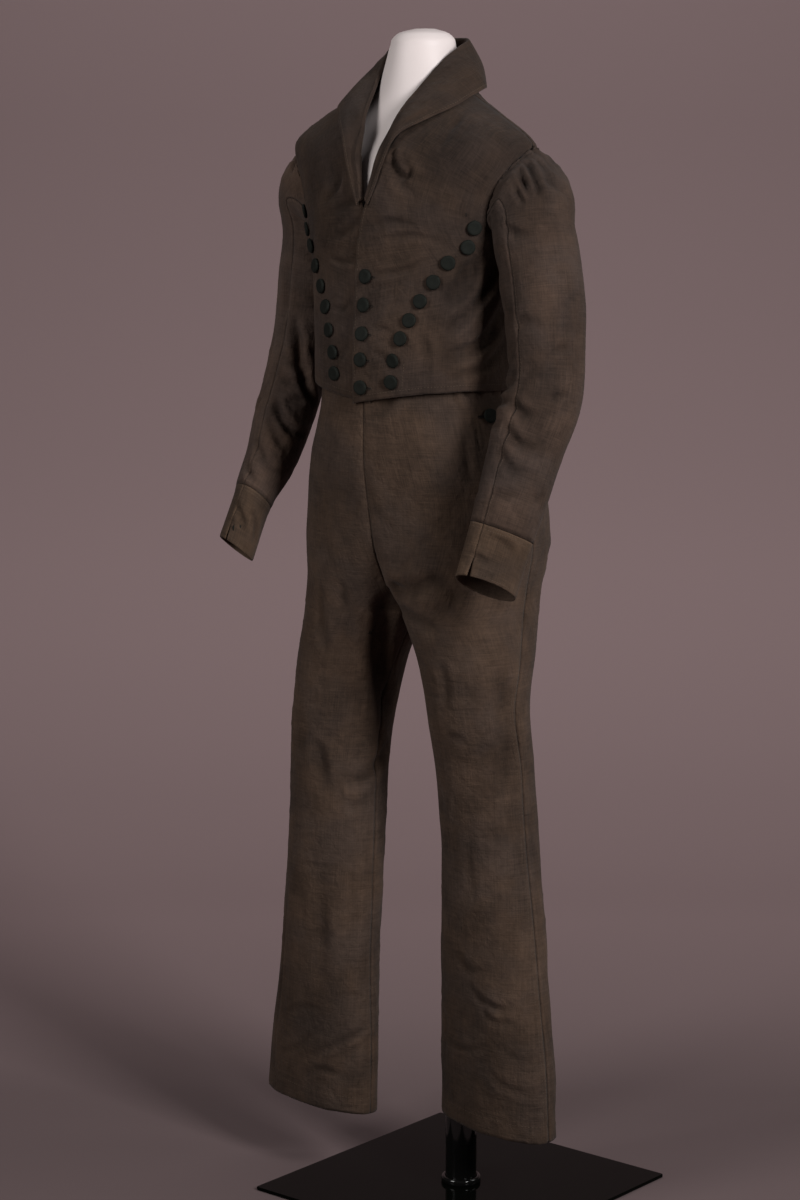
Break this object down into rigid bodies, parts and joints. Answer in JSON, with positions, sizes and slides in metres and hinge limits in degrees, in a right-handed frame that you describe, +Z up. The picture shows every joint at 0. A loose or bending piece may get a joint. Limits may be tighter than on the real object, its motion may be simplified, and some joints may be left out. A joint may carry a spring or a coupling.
{
  "type": "two-piece suit on a dress form stand",
  "caption": "Linen two-piece suit, waist-length high-collared jacket and long fall-front trousers, worn hollow on a smooth limbless dress form with a pole and a square plate",
  "frame": {"origin": "centre of the base plate's underside, under the pole", "axes": "+Z up, -Y is the front of the suit, +X is the wearer's left"},
  "size_m": [0.5829, 0.42, 1.646],
  "materials": {
    "linen": "faded grey-brown slubby plain-weave linen, matt",
    "button": "dark greenish black horn-like, low sheen",
    "form_white": "smooth off-white, satin",
    "stand_black": "gloss black"
  },
  "bodies": {
    "root": {"jacket_front_left": "linen", "jacket_front_right": "linen", "jacket_back_left": "linen", "jacket_back_right": "linen", "sleeve_top_left": "linen", "sleeve_under_left": "linen", "cuff_left": "linen", "sleeve_top_right": "linen", "sleeve_under_right": "linen", "cuff_right": "linen", "collar": "linen", "trouser_front_left": "linen", "trouser_back_left": "linen", "trouser_front_right": "linen", "trouser_back_right": "linen", "waistband": "linen", "button_centre_1": "button", "button_centre_2": "button", "button_centre_3": "button", "button_centre_4": "button", "button_centre_5": "button", "button_fan_left_1": "button", "button_fan_right_1": "button", "button_fan_left_2": "button", "button_fan_right_2": "button", "button_fan_left_3": "button", "button_fan_right_3": "button", "button_fan_left_4": "button", "button_fan_right_4": "button", "button_fan_left_5": "button", "button_fan_right_5": "button", "button_fan_left_6": "button", "button_fan_right_6": "button", "button_fan_left_7": "button", "button_fan_right_7": "button", "button_fan_left_8": "button", "button_fan_right_8": "button", "button_fan_left_9": "button", "button_fan_right_9": "button", "button_hip_left": "button", "button_hip_right": "button", "button_cuff_left": "button", "button_cuff_right": "button", "form_torso": "form_white", "pole": "stand_black", "pole_ring": "stand_black", "base_plate": "stand_black"}
  },
  "joints": []
}
